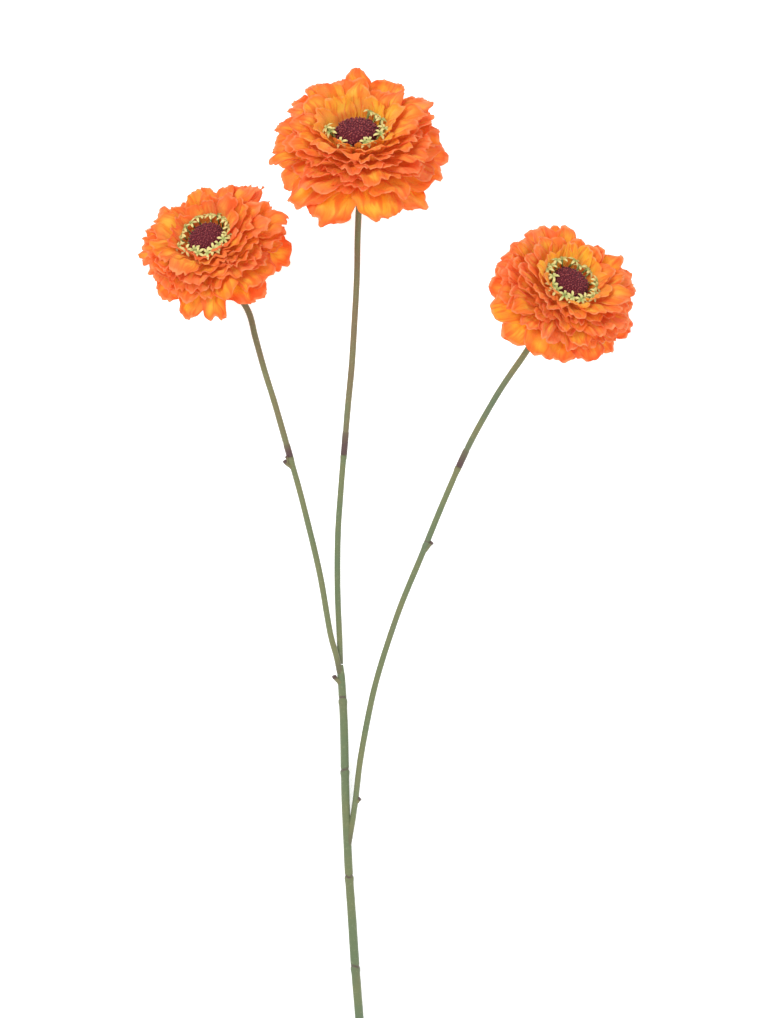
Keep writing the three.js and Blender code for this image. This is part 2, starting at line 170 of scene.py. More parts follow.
MAIN_RADIUS = 1.86
MAIN_TAPER = 0.2  # lost from the cut end to the fork
BRANCH_RADIUS = 1.25
STALK_RADIUS = 1.3
SEAT_RUN = 6  # of a stalk runs straight down from its head
MAIN_PATH = [
    (-9, -214.7, 2.1), (-10.5, -193.5, 2.3), (-13, -163.9, 2.6), (-14.9, -136.8, 2.8),
    (-16.5, -112, 3.1), (-17.3, -95.2, 3.4), (-18, -72.3, 3.8), (-18.5, -49.4, 4.3),
    (-19.9, -28.6, 5),
]
BRANCH_PATHS = {
    "center": [
        (-19.95, -28.2, 5), (-20.2, -18.2, 5.3), (-21.1, 5, 5.8), (-20.8, 27.5, 6.2),
        (-19.8, 42.8, 6.5), (-17.8, 66.1, 7), (-16.5, 81.4, 7.4), (-15, 97.6, 7.8),
        (-13.8, 117.4, 8.4), (-12.9, 135.2, 9.3), (-12.7, 147.5, 10.6),
    ],
    "left": [
        (-20, -32, 5.2), (-21.6, -24.4, 7), (-23.7, -16.9, 7.6), (-28.1, 8, 7.6),
        (-35.2, 37.9, 7.4), (-40.7, 57.8, 7.4), (-46.7, 78.9, 7.8), (-51, 92.6, 8.2),
        (-55, 107.1, 8.8), (-58.2, 118.5, 10.2),
    ],
    "right": [
        (-17, -106, 3.4), (-15.6, -98, 3.9), (-13.8, -86, 4.3), (-11.4, -66.8, 4.4),
        (-5.4, -36.9, 4.7), (4.1, -7, 5.2), (15.3, 20.4, 6), (24.5, 42.8, 6.6),
        (33.5, 62.7, 7.2), (44.5, 82.6, 8.2), (51, 92.5, 9.2), (54.8, 97.9, 10.2),
    ],
}
JOINTS = {"center": 87.1, "left": 92.5, "right": 167.3}  # where a stalk leaves its branch
DARK_RUNS = {"center": 9.5, "left": 5.5, "right": 7.5}  # of a stalk is purple above its joint
MAIN_NODES = [17, 60.5, 98, 142.5, 172.5]
RIGHT_NODE = 133


# ---- helpers ----


def smoothstep(low, high, value):
    share = np.clip((value - low) / (high - low), 0, 1)
    return share * share * (3 - 2 * share)


def bell(value, middle, width):
    return np.exp(-(((value - middle) / width) ** 2))


def round_turn(sides):
    """Angles spaced evenly round a circle."""
    return np.linspace(0, math.tau, sides, endpoint=False)


def outward_at(angle):
    """The direction across a head's axis at this angle."""
    return np.array([math.cos(angle), math.sin(angle), 0])


def around(radius, angle, height):
    """Points round a head's axis."""
    return np.stack([radius * np.cos(angle), radius * np.sin(angle), height], axis=-1)


def distances(points):
    """How far each point of a line lies from its first, along the line."""
    return np.concatenate([[0], np.cumsum(np.linalg.norm(np.diff(points, axis=0), axis=1))])


def head_matrix(head):
    turn = Matrix.Rotation(math.radians(head["azimuth"]), 4, "Z") @ Matrix.Rotation(
        math.radians(head["tilt"]), 4, "Y"
    )
    return Matrix.Translation(Vector(head["at"])) @ turn @ Matrix.Scale(head["scale"], 4)


def placed(points, head):
    """Points of a head's own frame, in the part's frame."""
    matrix = np.array(head_matrix(head))
    return points @ matrix[:3, :3].T + matrix[:3, 3]


def add_object(name, data):
    made = bpy.data.objects.new(name, data)
    bpy.context.scene.collection.objects.link(made)
    return made


class Bundle:
    """Points, faces and attributes of several closed shells, gathered for one piece.

    Faces have four corners each; a triangle repeats its last one. A spot is three numbers that
    tell the material where on its shell a point lies; a rim is one more.
    """

    def __init__(self):
        self.points = []
        self.faces = []
        self.spots = []
        self.rims = []
        self.flats = []
        self.count = 0

    def add(self, points, faces, spots, rims, flat=None):
        self.points.append(points)
        self.faces.append(faces + self.count)
        self.spots.append(spots)
        self.rims.append(rims)
        self.flats.append(np.zeros(len(faces), dtype=bool) if flat is None else flat)
        self.count += len(points)

    def piece(self, name, node, slot, material):
        """A mesh of all the shells, standing for one CAD node."""
        mesh = bpy.data.meshes.new(name)
        faces = np.concatenate(self.faces)
        kept = np.ones(faces.shape, dtype=bool)
        kept[:, 3] = faces[:, 3] != faces[:, 2]
        corners = faces[kept]
        sizes = kept.sum(axis=1)
        mesh.vertices.add(self.count)
        mesh.vertices.foreach_set("co", (np.concatenate(self.points) * MM).reshape(-1))
        mesh.loops.add(len(corners))
        mesh.loops.foreach_set("vertex_index", corners.astype(np.int32))
        mesh.polygons.add(len(faces))
        mesh.polygons.foreach_set("loop_start", (np.cumsum(sizes) - sizes).astype(np.int32))
        mesh.update(calc_edges=True)
        mesh.polygons.foreach_set("use_smooth", ~np.concatenate(self.flats))
        spots = mesh.attributes.new("spot", "FLOAT_VECTOR", "POINT")
        spots.data.foreach_set("vector", np.concatenate(self.spots).reshape(-1))
        rims = mesh.attributes.new("rim", "FLOAT", "POINT")
        rims.data.foreach_set("value", np.concatenate(self.rims))
        mesh.materials.append(material)
        piece = add_object(name, mesh)
        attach(piece, "root")
        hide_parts(node)


def grid_faces(rows, columns, wrap=False):
    """Faces between the points of a grid, whose last column can join its first."""
    row = np.arange(rows - 1)[:, None]
    column = np.arange(columns if wrap else columns - 1)[None, :]
    after = (column + 1) % columns
    here = row * columns + column
    out = here + columns
    out_after = (row + 1) * columns + after
    here_after = row * columns + after
    return np.stack([here, out, out_after, here_after], axis=-1).reshape(-1, 4)


def grid_normals(points):
    along = np.gradient(points, axis=0)
    across = np.gradient(points, axis=1)
    normals = np.cross(along, across)
    return normals / np.maximum(np.linalg.norm(normals, axis=-1, keepdims=True), 1e-9)


def add_sheet(bundle, points, thickness, spots, rims):
    """A grid of points as a closed sheet with a face on each side and a rim round it."""
    rows, columns = points.shape[:2]
    normals = grid_normals(points)
    half = np.asarray(thickness)[..., None] / 2 * normals
    size = rows * columns
    both = np.concatenate([(points + half).reshape(-1, 3), (points - half).reshape(-1, 3)])
    faces = grid_faces(rows, columns)
    index = np.arange(size).reshape(rows, columns)
    border = np.concatenate([index[:-1, 0], index[-1, :-1], index[:0:-1, -1], index[0, :0:-1]])
    ahead = np.roll(border, -1)
    edge = np.stack([ahead, border, border + size, ahead + size], axis=-1)
    all_faces = np.concatenate([faces, faces[:, ::-1] + size, edge])
    flat = np.zeros(len(all_faces), dtype=bool)
    flat[2 * len(faces) :] = True
    both_spots = np.tile(spots.reshape(-1, 3), (2, 1))
    bundle.add(both, all_faces, both_spots, np.tile(rims.reshape(-1), 2), flat)


def add_tube(bundle, rings, spots, rims):
    """Rings of points as a closed tube, with a point in the middle of each of its ends."""
    count, sides = rings.shape[:2]
    ends = np.stack([rings[0].mean(axis=0), rings[-1].mean(axis=0)])
    points = np.concatenate([rings.reshape(-1, 3), ends])
    side = np.arange(sides)
    after = (side + 1) % sides
    last = (count - 1) * sides
    foot = np.full(sides, count * sides)
    faces = np.concatenate(
        [
            grid_faces(count, sides, wrap=True)[:, ::-1],
            np.stack([foot, after, side, side], axis=-1),
            np.stack([foot + 1, last + side, last + after, last + after], axis=-1),
        ]
    )
    end_spots = np.stack([spots[0].mean(axis=0), spots[-1].mean(axis=0)])
    end_rims = np.array([rims[0].mean(), rims[-1].mean()])
    all_spots = np.concatenate([spots.reshape(-1, 3), end_spots])
    bundle.add(points, faces, all_spots, np.concatenate([rims.reshape(-1), end_rims]))


def turned(profile, sides):
    """Rings round a head's axis from (radius, height) pairs, foot first."""
    turn = round_turn(sides)
    radius, height = np.array(profile, dtype=float).T[..., None]
    return around(radius, turn, height + 0 * turn)


def spline(points, step):
    """Points every step along a centripetal curve through the given ones, and their distances."""
    knots = np.array(points, dtype=float)
    first = 2 * knots[0] - knots[1]
    final = 2 * knots[-1] - knots[-2]
    knots = np.vstack([first, knots, final])
    fine = []
    for a, b, c, d in zip(knots, knots[1:], knots[2:], knots[3:]):
        gaps = [max(np.linalg.norm(q - p) ** 0.5, 1e-6) for p, q in ((a, b), (b, c), (c, d))]
        into = ((b - a) / gaps[0] - (c - a) / (gaps[0] + gaps[1]) + (c - b) / gaps[1]) * gaps[1]
        out = ((c - b) / gaps[1] - (d - b) / (gaps[1] + gaps[2]) + (d - c) / gaps[2]) * gaps[1]
        t = np.linspace(0, 1, 40, endpoint=False)[:, None]
        cube = 2 * b - 2 * c + into + out
        square = -3 * b + 3 * c - 2 * into - out
        fine.append(b + into * t + square * t**2 + cube * t**3)
    fine = np.vstack([*fine, knots[-2][None]])
    run = distances(fine)
    count = max(2, round(run[-1] / step) + 1)
    distance = np.linspace(0, run[-1], count)
    return np.stack([np.interp(distance, run, fine[:, k]) for k in range(3)], axis=-1), distance


def add_stem(bundle, centers, distance, radius, tone, dark, cut_end=False):
    """A round stem along a line of points, given its radius at every ring and side."""
    ahead = np.gradient(centers, axis=0)
    ahead /= np.linalg.norm(ahead, axis=1, keepdims=True)
    across = np.cross(ahead, (0, 0, 1))
    across /= np.linalg.norm(across, axis=1, keepdims=True)
    top = np.cross(across, ahead)
    turn = round_turn(STEM_SIDES)[None, :, None]
    spokes = np.cos(turn) * top[:, None] + np.sin(turn) * across[:, None]
    rings = centers[:, None] + radius[..., None] * spokes
    shape = radius.shape
    spots = np.stack(
        [np.broadcast_to(part, shape) for part in (distance[:, None] / 100, tone, dark)], axis=-1
    )
    cut = np.zeros(shape)
    if cut_end:
        cut[0] = 1
    add_tube(bundle, rings, spots, cut)


def stem_radius(base, distance, draw):
    """A stem's radius with faint ridges along it and soft lumps."""
    phases = draw.uniform(0, math.tau, 5)
    run = distance[:, None]
    turn = round_turn(STEM_SIDES)[None, :]
    ridges = 0.025 * np.cos(5 * turn + run / 40 + phases[0])
    lumps = 0.02 * np.sin(run / 5.3 + phases[1] + turn) + 0.02 * np.sin(run / 12.7 + phases[2])
    knobs = 0.012 * np.sin(run / 1.7 + phases[3] + 2 * turn) * np.sin(run / 9 + phases[4])
    return base * (1 + ridges + lumps + knobs)


# ---- materials ----


class Nodes:
    """Short ways to make the nodes of one material."""

    def __init__(self, name):
        self.material = bpy.data.materials.new(name)
        self.material.use_nodes = True
        self.tree = self.material.node_tree
        self.shader = self.tree.nodes["Principled BSDF"]
        self.output = self.tree.nodes["Material Output"]

    def set(self, **values):
        for key, value in values.items():
            self.shader.inputs[key.replace("_", " ")].default_value = value

    def node(self, kind, inputs=None, **settings):
        made = self.tree.nodes.new(kind)
        for key, value in settings.items():
            setattr(made, key, value)
        for key, value in (inputs or {}).items():
            self.feed(value, made.inputs[key])
        return made

    def feed(self, value, socket):
        if isinstance(value, bpy.types.NodeSocket):
            self.tree.links.new(value, socket)
        else:
            socket.default_value = value

    def surface(self, color, normal, roughness):
        for value, socket in ((color, "Base Color"), (normal, "Normal"), (roughness, "Roughness")):
            self.feed(value, self.shader.inputs[socket])

    def attribute(self, name):
        return self.node("ShaderNodeAttribute", attribute_name=name)

    def spot(self):
        vector = self.attribute("spot").outputs["Vector"]
        return list(self.node("ShaderNodeSeparateXYZ", {0: vector}).outputs)

    def rim(self):
        return self.attribute("rim").outputs["Fac"]

    def stretched(self, spot, *factors):
        """A spot as a place for noise, each of its numbers times a factor."""
        parts = [self.times(part, factor) for part, factor in zip(spot, factors)]
        return self.node("ShaderNodeCombineXYZ", dict(enumerate(parts))).outputs[0]

    def times(self, first, second):
        return self.math("MULTIPLY", first, second)

    def shifted(self, value, noise, size):
        """The value moved by a noise round 0.5, as far as size says."""
        return self.math("MULTIPLY_ADD", self.math("SUBTRACT", noise, 0.5), size, value)

    def math(self, operation, first, second=0.0, third=0.0):
        made = self.node("ShaderNodeMath", {0: first, 1: second, 2: third}, operation=operation)
        return made.outputs[0]

    def noise(self, vector, scale, detail=2.0, roughness=0.5, distortion=0.0):
        made = self.node("ShaderNodeTexNoise", {"Vector": vector, "Scale": scale, "Detail": detail})
        self.feed(roughness, made.inputs["Roughness"])
        self.feed(distortion, made.inputs["Distortion"])
        return made.outputs[0]

    def ramp(self, value, stops):
        made = self.node("ShaderNodeValToRGB", {0: value})
        elements = made.color_ramp.elements
        while len(elements) < len(stops):
            elements.new(0.5)
        for element, (position, color) in zip(elements, stops):
            element.position = position
            element.color = (*color, 1)
        return made.outputs[0]

    def mix(self, share, first, second):
        made = self.node("ShaderNodeMix", data_type="RGBA")
        self.feed(share, made.inputs["Factor"])
        for value, socket in ((first, "A"), (second, "B")):
            self.feed((*value, 1) if isinstance(value, tuple) else value, made.inputs[socket])
        return made.outputs["Result"]

    def range(self, value, low, high, to_low=0.0, to_high=1.0):
        made = self.node(
            "ShaderNodeMapRange",
            {0: value, 1: low, 2: high, 3: to_low, 4: to_high},
            interpolation_type="SMOOTHSTEP",
        )
        return made.outputs[0]

    def bump(self, height, distance, strength=1.0, under=None):
        made = self.node(
            "ShaderNodeBump", {"Height": height, "Distance": distance, "Strength": strength}
        )
        if under is not None:
            self.feed(under, made.inputs["Normal"])
        return made.outputs[0]

    def place(self):
        return self.node("ShaderNodeTexCoord").outputs["Object"]


LIGHT_LEVEL = 1.3  # white paper would look this many times as bright as white
EXPOSED = 1 / LIGHT_LEVEL


def seen(red, green, blue):
    """The colour, as linear light, that looks like these 0 to 255 values in the scene's light."""
    return tuple(
        EXPOSED * (value / 12.92 if value <= 0.04045 else ((value + 0.055) / 1.055) ** 2.4)
        for value in (red / 255, green / 255, blue / 255)
    )


PAINTED_PETAL_GLOW = 0.13  # painted glow: a faint emission in the petals that stands in for light bounced between their thin layers
# the colour of that painted glow
PAINTED_GLOW_COLOR = (1.0, 0.23, 0.045)
OLIVE = (0.5, 0.27, 0.014)
YELLOW = (0.9, 0.55, 0.035)
AMBER = (0.9, 0.42, 0.032)
# a painted highlight: light yellow laid on the middles of the petals
PAINTED_HIGHLIGHT = (0.92, 0.62, 0.075)
ORANGE = (0.9, 0.24, 0.034)
DEEP_ORANGE = (0.85, 0.13, 0.018)
SALMON = (0.9, 0.27, 0.09)
PALE_RIM = (0.93, 0.54, 0.25)


def petal_material(name, stops, glow, pale):
    """Soft cloth, coloured along the petal: stops give the colours from its base to its tip.

    glow is the strength of the painted highlights, yellow patches amid the petals; pale is that of their
    light rims.
    """
    nodes = Nodes(name)
    spot = nodes.spot()
    along, across, seed = spot
    rim = nodes.rim()
    place = nodes.place()

    streak_place = nodes.stretched(spot, 1.5, 2.6, 61.0)
    streak = nodes.noise(streak_place, 1.0, 3.0, 0.55, 0.4)
    color = nodes.ramp(nodes.shifted(nodes.shifted(along, streak, 0.55), seed, 0.3), stops)

    # Painted highlight: yellow patches in the middles of the petals, away from their rims
    patch_place = nodes.stretched(spot, 1.1, 1.3, 37.0)
    patch = nodes.range(nodes.noise(patch_place, 1.3, 2.0, 0.5, 0.3), 0.4, 0.58)
    middle = nodes.range(nodes.math("ABSOLUTE", across), 0.95, 0.3)
    inland = nodes.range(rim, 0.99, 0.78)
    patch = nodes.times(nodes.times(patch, middle), inland)
    color = nodes.mix(nodes.times(patch, glow), color, PAINTED_HIGHLIGHT)

    blush = nodes.range(nodes.noise(place, 110.0, 2.0, 0.5), 0.42, 0.68)
    color = nodes.mix(nodes.times(blush, 0.5), color, SALMON)
    flame = nodes.range(nodes.noise(streak_place, 1.5, 2.0, 0.5, 0.4), 0.5, 0.64)
    color = nodes.mix(nodes.times(flame, 0.55), color, DEEP_ORANGE)
    edge = nodes.times(nodes.range(rim, 0.94, 0.99), pale)
    edge = nodes.times(edge, nodes.range(nodes.noise(place, 260.0, 1.0), 0.35, 0.6))
    color = nodes.mix(edge, color, PALE_RIM)

    vein = nodes.noise(nodes.stretched(spot, 2.0, 16.0, 29.0), 1.0, 3.0, 0.6, 0.3)
    weave = nodes.noise(place, 2600.0, 1.0, 0.5)
    normal = nodes.bump(vein, 0.0005, 0.8)
    normal = nodes.bump(weave, 0.00006, 0.6, normal)
    nodes.surface(color, normal, nodes.range(vein, 0.2, 0.8, 0.62, 0.82))
    nodes.set(Sheen_Weight=0.08, Sheen_Roughness=0.5, Specular_IOR_Level=0.25)
    # The petals glow faintly: painted light, standing in for light bounced between their layers
    nodes.set(Emission_Color=(*PAINTED_GLOW_COLOR, 1), Emission_Strength=PAINTED_PETAL_GLOW)

    behind = nodes.node("ShaderNodeBsdfTranslucent", {"Color": color, "Normal": normal})
    shared = nodes.node("ShaderNodeMixShader", {0: 0.45})
    nodes.feed(nodes.shader.outputs[0], shared.inputs[1])
    nodes.feed(behind.outputs[0], shared.inputs[2])
    nodes.feed(shared.outputs[0], nodes.output.inputs["Surface"])
    return nodes.material


def stem_material():
    """Coated wire: mottled green to brown by its tone, purple where it is dark, pale where cut."""
    nodes = Nodes("stem coat")
    _, tone, dark = nodes.spot()
    place = nodes.place()
    streaks = nodes.noise(place, 90.0, 3.0, 0.6, 0.5)
    stops = [(0.0, STEM_GREEN), (0.5, STEM_OLIVE), (1.0, STEM_BROWN)]
    color = nodes.ramp(nodes.shifted(tone, streaks, 0.9), stops)
    patch = nodes.range(nodes.noise(place, 38.0, 1.0, 0.5), 0.56, 0.7)
    color = nodes.mix(nodes.times(patch, 0.5), color, STEM_TEAL)
    speck = nodes.range(nodes.noise(place, 900.0, 2.0, 0.6), 0.56, 0.72)
    color = nodes.mix(nodes.times(speck, 0.35), color, STEM_LIGHT)
    shade = nodes.range(nodes.math("MULTIPLY_ADD", streaks, 0.5, dark), 0.3, 1.2)
    color = nodes.mix(shade, color, STEM_PURPLE)
    color = nodes.mix(nodes.rim(), color, STEM_CUT)
    grain = nodes.noise(place, 1500.0, 3.0, 0.6)
    normal = nodes.bump(grain, 0.00008, 0.7, nodes.bump(streaks, 0.0004, 0.5))
    nodes.surface(color, normal, nodes.range(grain, 0.3, 0.7, 0.5, 0.72))
    nodes.set(Sheen_Weight=0.35, Sheen_Roughness=0.4, Specular_IOR_Level=0.35)
    return nodes.material


def disc_material():
    """Dark burgundy plush: lighter towards the tips of its tufts, a painted highlight, and darker at
    their feet and between them, painted shade.
    """
    nodes = Nodes("disc plush")
    height, _, seed = nodes.spot()
    place = nodes.place()
    mottle = nodes.noise(place, 420.0, 3.0, 0.6)
    mottled = nodes.shifted(nodes.shifted(height, mottle, 0.8), seed, 0.7)
    color = nodes.ramp(mottled, [(0.1, DISC_DARK_SHADE), (0.65, DISC_RED), (1.0, DISC_PINK_HIGHLIGHT)])
    fuzz = nodes.noise(place, 4000.0, 2.0, 0.6)
    nodes.surface(color, nodes.bump(fuzz, 0.0001, 0.8), nodes.range(fuzz, 0.3, 0.7, 0.75, 0.95))
    nodes.set(Sheen_Weight=0.12, Sheen_Roughness=0.45, Specular_IOR_Level=0.15)
    return nodes.material


def floret_material():
    """Green in the tube, cream towards the tips of the lobes."""
    nodes = Nodes("floret")
    _, across, seed = nodes.spot()
    place = nodes.place()
    mottle = nodes.noise(place, 700.0, 2.0, 0.5)
    mottled = nodes.shifted(nodes.shifted(nodes.rim(), mottle, 0.45), seed, 0.25)
    color = nodes.ramp(mottled, [(0.0, FLORET_DARK), (0.4, FLORET_GREEN), (0.75, FLORET_CREAM)])
    normal = nodes.bump(nodes.math("ABSOLUTE", across), 0.0002, 0.4)
    nodes.surface(color, normal, nodes.range(mottle, 0.3, 0.7, 0.5, 0.65))
    nodes.set(Specular_IOR_Level=0.35)
    return nodes.material


def calyx_material():
    """Green bracts with dark rims and fine lengthwise veins."""
    nodes = Nodes("calyx")
    vein = nodes.noise(nodes.stretched(nodes.spot(), 1.5, 9.0, 31.0), 1.0, 3.0, 0.6, 0.3)
    color = nodes.ramp(vein, [(0.3, CALYX_DEEP), (0.5, CALYX_GREEN), (0.75, CALYX_LIGHT)])
    blotch = nodes.range(nodes.noise(nodes.place(), 160.0, 2.0, 0.5), 0.45, 0.7)
    color = nodes.mix(nodes.times(blotch, 0.5), color, CALYX_DEEP)
    edge = nodes.range(nodes.math("MULTIPLY_ADD", vein, 0.08, nodes.rim()), 0.86, 1.0)
    color = nodes.mix(nodes.times(edge, 0.85), color, CALYX_RIM)
    nodes.surface(color, nodes.bump(vein, 0.0003, 0.8), nodes.range(vein, 0.2, 0.8, 0.5, 0.72))
    nodes.set(Sheen_Weight=0.15, Specular_IOR_Level=0.35)
    return nodes.material


STEM_GREEN = seen(106, 122, 86)
STEM_OLIVE = seen(124, 127, 85)
STEM_BROWN = seen(128, 114, 82)
STEM_TEAL = seen(92, 116, 94)
STEM_LIGHT = seen(154, 158, 122)
STEM_PURPLE = seen(92, 68, 68)
STEM_CUT = seen(196, 188, 140)
# The disc's burgundy runs from a darker painted shade among its tufts to a pink painted highlight on
# their tips
DISC_DARK_SHADE = seen(104, 31, 43)
DISC_RED = seen(143, 53, 62)
DISC_PINK_HIGHLIGHT = seen(170, 80, 80)
FLORET_DARK = seen(112, 122, 58)
FLORET_GREEN = seen(180, 188, 106)
FLORET_CREAM = seen(240, 224, 144)
CALYX_DEEP = seen(70, 86, 46)
CALYX_GREEN = seen(104, 124, 66)
CALYX_LIGHT = seen(138, 154, 92)
CALYX_RIM = seen(62, 44, 38)


# ---- petals ----

WIDE_SHARE = 0.85  # of the way to its tip, where a petal's room is measured
CRUMPLE_START, CRUMPLE_FULL = 9, 17  # radii between which the crumpling sets in
PAD = 2  # rows added at each end of a table of whorls, so that it can be read between its rows


def whorl_table(bends, side):
    rows = [
        [(HUB_RIM_RADIUS, HUB_TOP - HUB_PITCH * level), bend, *ends]
        for level, (bend, ends) in enumerate(zip(bends, side))
    ]
    table = np.array(rows, dtype=float)
    first_step = table[0] - table[1]
    last_step = table[-1] - table[-2]
    before = [table[0] + first_step * step for step in range(PAD, 0, -1)]
    behind = [table[-1] + last_step * step for step in range(1, PAD + 1)]
    return np.concatenate([before, table, behind])


LOW_TABLES = [whorl_table(LOW_BENDS, LOW_SIDE), whorl_table(LOW_BENDS, FLANK)]
TABLES = [[*LOW_TABLES, whorl_table(HIGH_BENDS, high)] for high in (HIGH_SIDE, HIGH_SIDE_OPEN)]


def between_rows(table, level):
    """A table's entries at whorl numbers that may lie between whole ones, without kinks."""
    base = np.clip(np.floor(level).astype(int), 1 - PAD, len(table) - PAD - 3)
    share = (level - base)[..., None, None]
    square = share * share
    cube = square * share
    before, here, ahead, beyond = (table[base + PAD + step] for step in (-1, 0, 1, 2))
    return 0.5 * (
        2 * here
        + (ahead - before) * share
        + (2 * before - 5 * here + 4 * ahead - beyond) * square
        + (3 * here - before - 3 * ahead + beyond) * cube
    )


def midrib(tables, level, along, angle):
    """Radius and height on a head's whorl surfaces: level 0 is the innermost whorl's."""
    level, along, angle = np.broadcast_arrays(level, along, angle)
    level = level.astype(float)
    straight = np.cos(angle) ** 2
    weights = ((1 + np.cos(angle)) / 2 * straight, 1 - straight, (1 - np.cos(angle)) / 2 * straight)
    corners = sum(
        between_rows(table, level) * weight[..., None, None]
        for table, weight in zip(tables, weights)
    )
    t = along[..., None]
    rest = 1 - t
    pulls = (rest**3, 3 * rest**2 * t, 3 * rest * t**2, t**3)
    point = sum(pull * corners[..., index, :] for index, pull in enumerate(pulls))
    return point[..., 0], point[..., 1]


# How each whorl's petals are cut and bent, innermost first. count: how many there are on a head
# whose "more" is 1, except in the lowest whorl, which has as many as "skirt" lists; fill: width
# against the room that a petal has; round: how far its corners are cut back; teeth: depth of the
# scallops at its tip; the rest is how far it rises in mm: cup at its sides, crease along its
# middle, ruffle at its rim, curl at its tip, twist from side to side, and lift, the most that
# single petals rise or sink
WHORL_TRAITS = ("count", "fill", "round", "teeth", "cup", "crease", "ruffle", "curl", "twist", "lift")
WHORLS = [
    (10, 1.35, 0.34, 0.14, 1.0, 1.2, 0.9, -0.6, 0.3, 0.8),
    (12, 1.38, 0.28, 0.18, 1.0, 1.4, 1.3, -0.7, 0.6, 1.2),
    (14, 1.38, 0.26, 0.20, 0.8, 1.4, 1.7, -0.6, 0.8, 1.5),
    (16, 1.38, 0.24, 0.22, 0.6, 1.2, 2.0, -0.6, 0.9, 1.6),
    (16, 1.38, 0.24, 0.22, 0.6, 1.2, 2.0, -0.5, 0.9, 1.6),
    (14, 1.34, 0.24, 0.22, 0.6, 1.2, 2.0, -0.5, 0.9, 1.6),
    (11, 1.28, 0.26, 0.14, -0.7, 1.8, 1.4, -0.5, 0.7, 1.0),
]

ROWS = 20
COLUMNS = 29
CLAW_SHARE = 0.12  # of a petal's length lies flat on the hub
PETAL_THICKNESS = 0.24
# How far petals stray from their whorl's surface, as shares of the way to the next whorl
SHINGLE = 0.08  # a petal's left side over its neighbour's right
STAGGER = 0.13  # every other petal over its neighbours
LIFT_SHARE = 0.12  # single petals up or down
BEND_SHARE = 0.26  # a petal's own bends
REACH_SPREAD = 0.085
OUTLINE_PULL = 1.3  # a petal's tip moves less than its reach
CRUMPLE_LENGTHS = (16, 13, 11, 9.5, 8, 7, 6, 5)
CRUMPLE_SHARE = 0.048  # of a wave's length is the most it pushes
GOLDEN_ANGLE = 2.4
TIP_FLATNESS = 2.3  # 2 makes the tips of petals oval, more makes them broad


def head_warp(points, phases):
    """A gentle unevenness of the whole head, which bends all whorls alike."""
    x, y, z = points[..., 0], points[..., 1], points[..., 2]
    radius = np.hypot(x, y)
    angle = np.arctan2(y, x)
    reach = (radius / 30) ** 2
    waves = zip((2, 3, 5, 7), (0.9, 0.8, 0.7, 0.5), phases)
    swell = sum(size * np.sin(count * angle + phase) for count, size, phase in waves)
    stretch = 0.02 * np.sin(3 * angle + phases[1]) + 0.015 * np.sin(5 * angle + phases[2])
    wide = 1 + stretch * reach
    return np.stack([x * wide, y * wide, z + swell * reach], axis=-1)


def crumple_waves(draw):
    """Waves running every way through a head: their directions, phases and pushes."""
    waves = []
    for length in CRUMPLE_LENGTHS:
        way = draw.normal(size=3)
        push = draw.normal(size=3)
        way *= math.tau / length / np.linalg.norm(way)
        push *= CRUMPLE_SHARE * length / np.linalg.norm(push)
        waves.append((way, draw.uniform(0, math.tau), push))
    return waves


def crumple(points, waves, strength):
    """Petals pushed about by waves, neighbours alike, less and less towards the disc."""
    calm = smoothstep(CRUMPLE_START, CRUMPLE_FULL, np.hypot(points[..., 0], points[..., 1]))[..., None]
    shift = sum(np.sin(points @ way + phase)[..., None] * push for way, phase, push in waves)
    return points + strength * calm * shift


